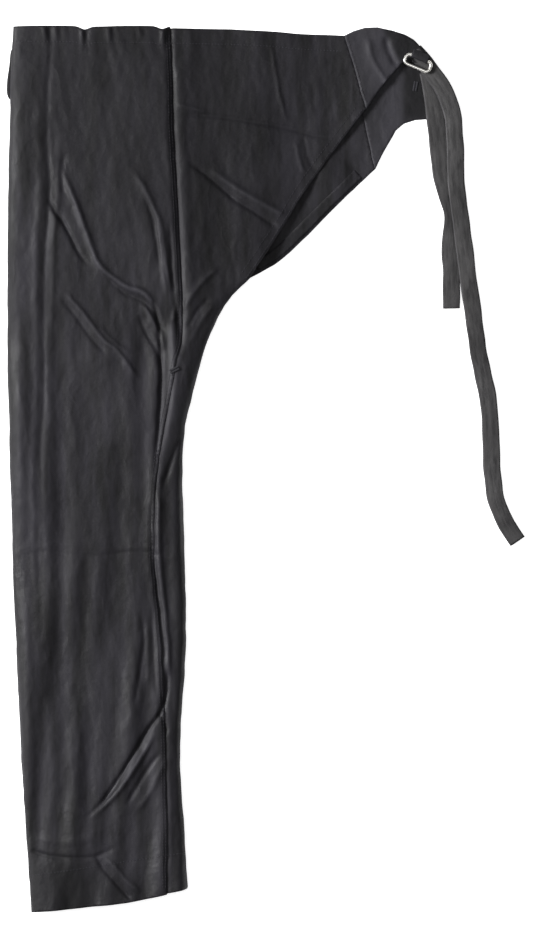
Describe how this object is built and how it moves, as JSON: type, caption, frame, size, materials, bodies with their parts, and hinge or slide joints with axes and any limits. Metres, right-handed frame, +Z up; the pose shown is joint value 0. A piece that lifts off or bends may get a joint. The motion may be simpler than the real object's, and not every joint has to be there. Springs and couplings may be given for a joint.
{
  "type": "chainsaw chaps",
  "caption": "Dark cloth leg chaps with padded leg fronts, back wings and long waist ties, folded in half and laid flat.",
  "frame": {"origin": "centre of the folded garment's footprint, on the surface it lies on", "axes": "+Y runs from the hem to the waist, +X from the front fold to the waist ties, +Z up through the folded layers"},
  "size_m": [0.5858, 1, 0.0263],
  "materials": {
    "outer_cloth": "tightly woven cloth with a dull wax-like sheen",
    "inner_cloth": "the same cloth seen from its inner side",
    "lining_cloth": "smooth thin lining",
    "pad_felt": "matte loose knitted fibre",
    "tie_tape": "folded cloth tape, stitched along both edges",
    "keeper_tape": "folded cloth tape",
    "thread": "waxed thread",
    "ring_steel": "bright plated wire"
  },
  "bodies": {
    "right_leg": {"right_back_panel": "outer_cloth", "right_front_panel": "outer_cloth", "right_front_yoke": "outer_cloth", "right_hem_facing": "inner_cloth", "right_inner_panel": "inner_cloth", "right_lining": "lining_cloth", "right_pad_ply_1": "pad_felt", "right_pad_ply_2": "pad_felt", "right_pad_ply_3": "pad_felt", "right_seat_facing": "inner_cloth", "right_tie_tack": "thread", "right_waist_facing": "inner_cloth", "right_wing_tip": "outer_cloth"},
    "left_leg": {"left_back_panel": "outer_cloth", "left_crotch_tack": "thread", "left_front_panel": "outer_cloth", "left_front_yoke": "outer_cloth", "left_hem_facing": "inner_cloth", "left_inner_panel": "inner_cloth", "left_lining": "lining_cloth", "left_pad_ply_1": "pad_felt", "left_pad_ply_2": "pad_felt", "left_pad_ply_3": "pad_felt", "left_seat_facing": "inner_cloth", "left_waist_facing": "inner_cloth", "left_wing_tip": "outer_cloth", "ring_keeper": "keeper_tape"},
    "left_tie": {"left_tie": "tie_tape"},
    "right_tie": {"right_tie": "tie_tape"},
    "tie_ring": {"tie_ring": "ring_steel"}
  },
  "joints": [
    {"name": "unfold", "type": "hinge", "parent": "right_leg", "child": "left_leg", "pos_m": [-0.29308, 0, 0.01275], "axis": [0, -1, 0], "range_deg": [0, 180]},
    {"name": "left_tie_swing", "type": "hinge", "parent": "left_leg", "child": "left_tie", "pos_m": [0.17107, 0.474, 0.0051], "axis": [0, 0, 1], "range_deg": [-30, 60]},
    {"name": "right_tie_swing", "type": "hinge", "parent": "right_leg", "child": "right_tie", "pos_m": [0.18207, 0.444, 0.0027], "axis": [0, 0, 1], "range_deg": [-30, 60]},
    {"name": "ring_pivot", "type": "hinge", "parent": "left_leg", "child": "tie_ring", "pos_m": [0.17357, 0.4645, 0.0103], "axis": [-0.9272, 0.3746, 0], "range_deg": [0, 140]}
  ]
}
